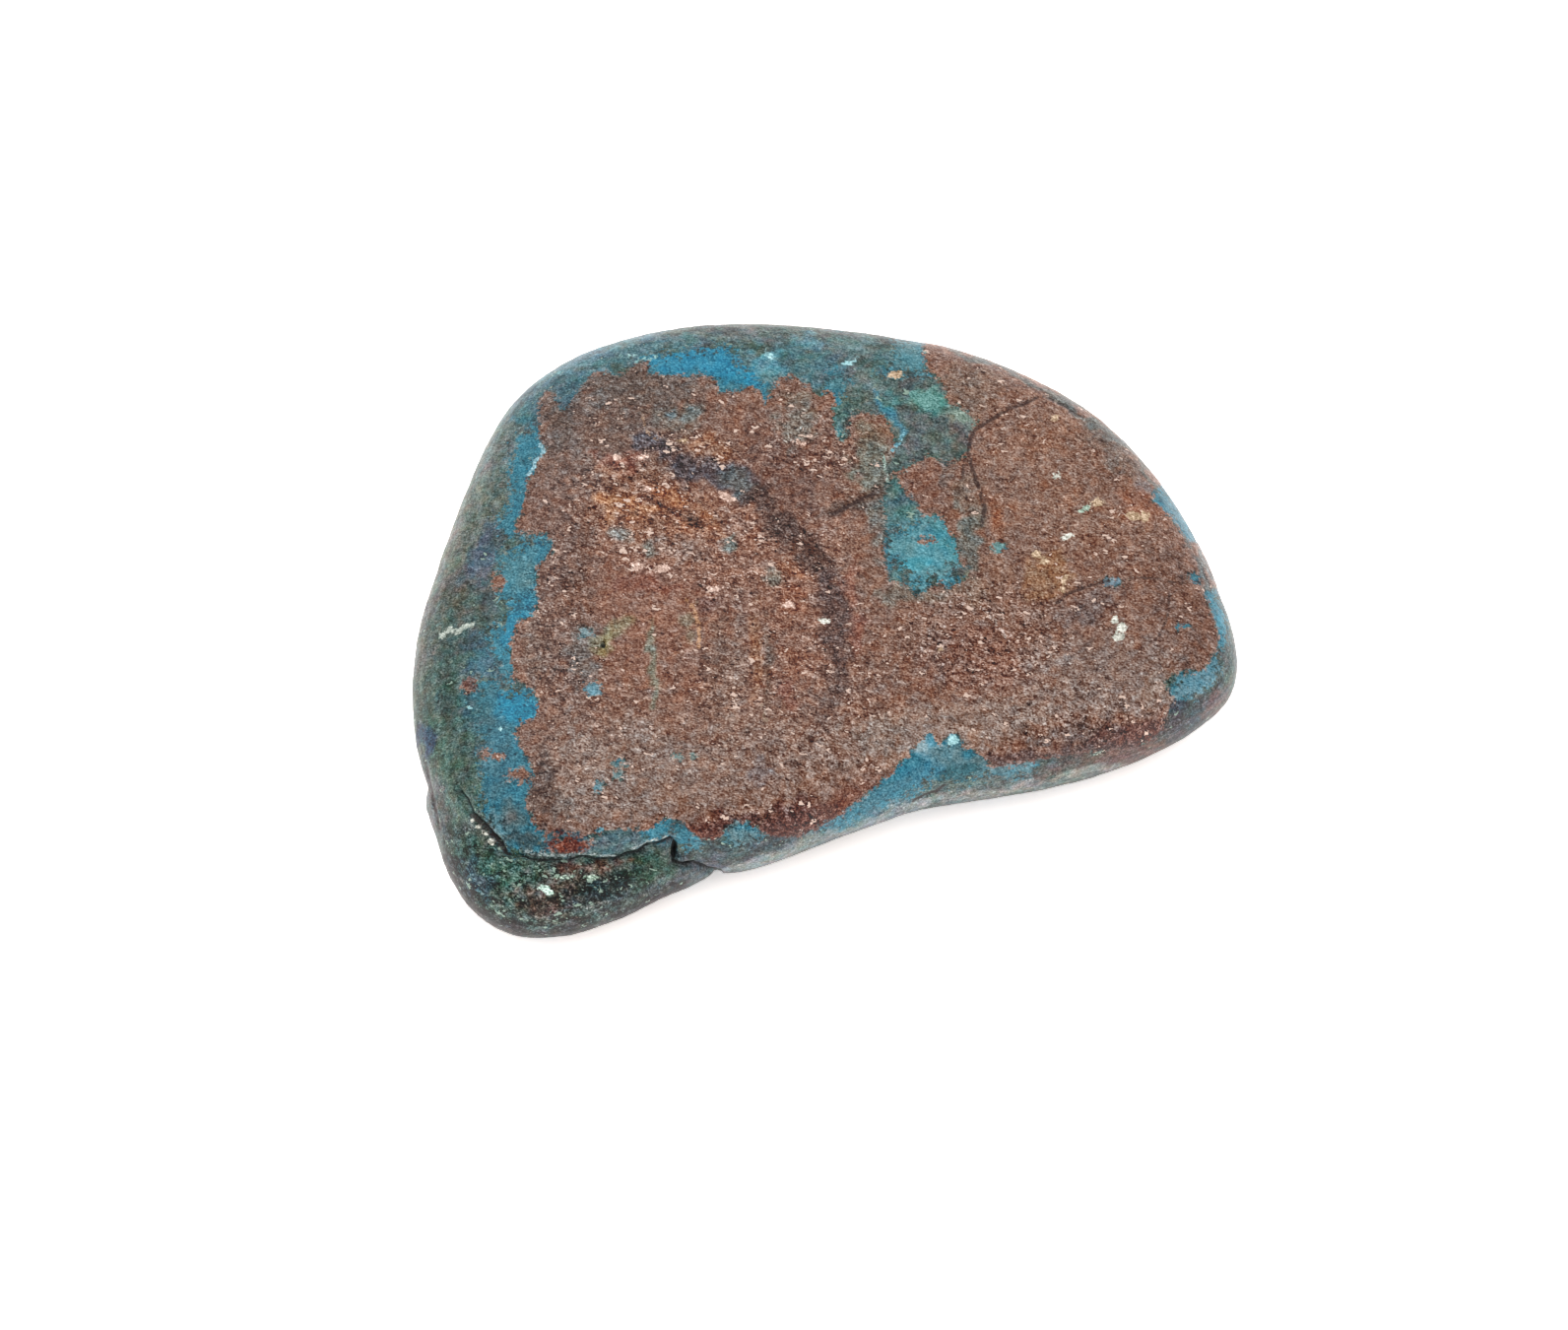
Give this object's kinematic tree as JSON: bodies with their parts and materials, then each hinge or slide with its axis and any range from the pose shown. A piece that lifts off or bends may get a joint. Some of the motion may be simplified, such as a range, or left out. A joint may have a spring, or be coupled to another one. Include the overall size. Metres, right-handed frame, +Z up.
{
  "type": "tumbled cuprite and chrysocolla stone",
  "caption": "Flat, tumbled, half-moon slab of brown-red cuprite with a blue and green chrysocolla rim, resting on its flat underside.",
  "frame": {"origin": "on the surface the stone rests on, under the middle of its box", "axes": "+X along the stone's length towards its pointed end, +Y towards its round back edge, +Z up out of the polished face"},
  "size_m": [0.059, 0.0482, 0.0101],
  "materials": {
    "cuprite_stone": "tumbled and half polished: brown-red cuprite with a blue and green chrysocolla rim"
  },
  "bodies": {
    "root": {"cuprite_stone": "cuprite_stone"}
  },
  "joints": []
}
